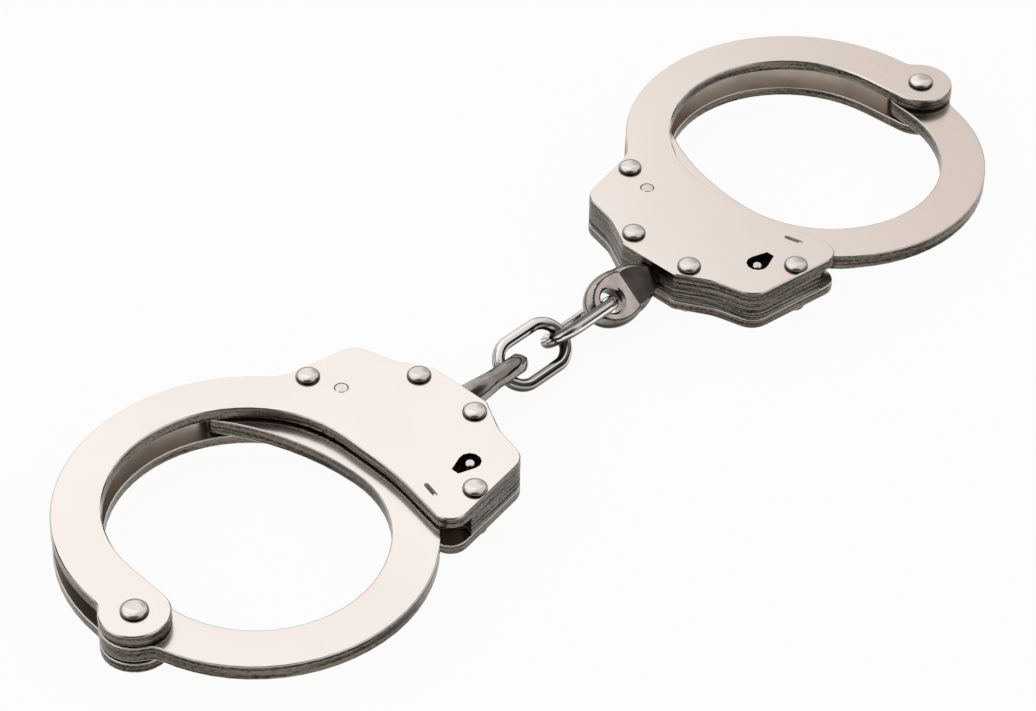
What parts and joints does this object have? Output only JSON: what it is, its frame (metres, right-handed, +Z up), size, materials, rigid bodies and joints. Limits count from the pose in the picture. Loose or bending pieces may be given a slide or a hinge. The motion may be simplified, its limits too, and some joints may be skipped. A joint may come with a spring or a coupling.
{
  "type": "chain handcuffs",
  "caption": "Chain handcuffs in nickel-plated steel: riveted plate cases with swinging ratchet bows, keyholes and sliding double locks, joined by swivels and oval links.",
  "frame": {"origin": "middle of the underside of the bounding box, where the lower rivet heads stand", "axes": "+X along the chain from the first cuff to the second, +Y towards the fixed arms, +Z up through the thickness"},
  "size_m": [0.2262, 0.072, 0.0113],
  "materials": {
    "plate_nickel": "polished warm nickel plate with softly rounded rims",
    "bow_nickel": "polished warm nickel plate",
    "spacer_steel": "darker plated edges of stacked plates",
    "rivet_nickel": "bright domed heads",
    "lock_steel": "plain lock parts inside the case",
    "chain_chrome": "bright plated chain"
  },
  "bodies": {
    "cuff_a": {"a_top_plate": "plate_nickel", "a_bottom_plate": "plate_nickel", "a_spacer_1": "spacer_steel", "a_spacer_2_left": "spacer_steel", "a_spacer_2_right": "spacer_steel", "a_spacer_3_left": "spacer_steel", "a_spacer_3_right": "spacer_steel", "a_spacer_4": "spacer_steel", "a_pivot_rivet": "rivet_nickel", "a_case_rivet_1": "rivet_nickel", "a_case_rivet_2": "rivet_nickel", "a_case_rivet_3": "rivet_nickel", "a_case_rivet_4": "rivet_nickel", "a_pawl_pin": "lock_steel", "a_pawl_spring": "lock_steel", "a_key_post": "lock_steel"},
    "bow_a": {"a_bow": "bow_nickel"},
    "pawl_a": {"a_pawl": "lock_steel"},
    "double_lock_a": {"a_double_lock": "lock_steel"},
    "swivel_a": {"a_swivel": "chain_chrome"},
    "cuff_b": {"b_top_plate": "plate_nickel", "b_bottom_plate": "plate_nickel", "b_spacer_1": "spacer_steel", "b_spacer_2_left": "spacer_steel", "b_spacer_2_right": "spacer_steel", "b_spacer_3_left": "spacer_steel", "b_spacer_3_right": "spacer_steel", "b_spacer_4": "spacer_steel", "b_pivot_rivet": "rivet_nickel", "b_case_rivet_1": "rivet_nickel", "b_case_rivet_2": "rivet_nickel", "b_case_rivet_3": "rivet_nickel", "b_case_rivet_4": "rivet_nickel", "b_pawl_pin": "lock_steel", "b_pawl_spring": "lock_steel", "b_key_post": "lock_steel"},
    "bow_b": {"b_bow": "bow_nickel"},
    "pawl_b": {"b_pawl": "lock_steel"},
    "double_lock_b": {"b_double_lock": "lock_steel"},
    "swivel_b": {"b_swivel": "chain_chrome"},
    "link_1": {"chain_link_1": "chain_chrome"},
    "link_2": {"chain_link_2": "chain_chrome"}
  },
  "joints": [
    {"name": "bow_a_swing", "type": "hinge", "parent": "cuff_a", "child": "bow_a", "pos_m": [-0.10673, -0.0044, 0.00562], "axis": [0, 0, 1], "continuous": true},
    {"name": "double_lock_a_slide", "type": "slide", "parent": "cuff_a", "child": "double_lock_a", "axis": [0.2487, 0.9686, 0], "range_m": [0, 0.003]},
    {"name": "pawl_a_turn", "type": "hinge", "parent": "cuff_a", "child": "pawl_a", "pos_m": [-0.04172, 0.0119, 0.00562], "axis": [0, 0, -1], "range_deg": [0, 4.2]},
    {"name": "swivel_a_turn", "type": "hinge", "parent": "cuff_a", "child": "swivel_a", "pos_m": [-0.01443, -0.003, 0.00562], "axis": [1, 0, 0], "continuous": true},
    {"name": "link_1_swing", "type": "hinge", "parent": "swivel_a", "child": "link_1", "pos_m": [-0.01443, -0.003, 0.00562], "axis": [0, 0.7771, 0.6293], "range_deg": [-70, 70]},
    {"name": "link_2_swing", "type": "hinge", "parent": "link_1", "child": "link_2", "pos_m": [-0.00137, -0.003, 0.00562], "axis": [0, -0.7157, 0.6984], "range_deg": [-70, 70]},
    {"name": "swivel_b_swing", "type": "hinge", "parent": "link_2", "child": "swivel_b", "pos_m": [0.01443, -0.003, 0.00562], "axis": [0, -0.7157, 0.6984], "range_deg": [-70, 70]},
    {"name": "swivel_b_turn", "type": "hinge", "parent": "swivel_b", "child": "cuff_b", "pos_m": [0.01443, -0.003, 0.00562], "axis": [1, 0, 0], "continuous": true},
    {"name": "bow_b_swing", "type": "hinge", "parent": "cuff_b", "child": "bow_b", "pos_m": [0.10673, -0.0044, 0.00562], "axis": [0, 0, -1], "continuous": true},
    {"name": "double_lock_b_slide", "type": "slide", "parent": "cuff_b", "child": "double_lock_b", "axis": [-0.2487, 0.9686, 0], "range_m": [0, 0.003]},
    {"name": "pawl_b_turn", "type": "hinge", "parent": "cuff_b", "child": "pawl_b", "pos_m": [0.04172, 0.0119, 0.00562], "axis": [0, 0, 1], "range_deg": [0, 4.2]}
  ],
  "couplings": [
    {"joint": "pawl_a_turn", "follows": "double_lock_a_slide", "rad_per_m": 24.435},
    {"joint": "pawl_b_turn", "follows": "double_lock_b_slide", "rad_per_m": 24.435}
  ]
}
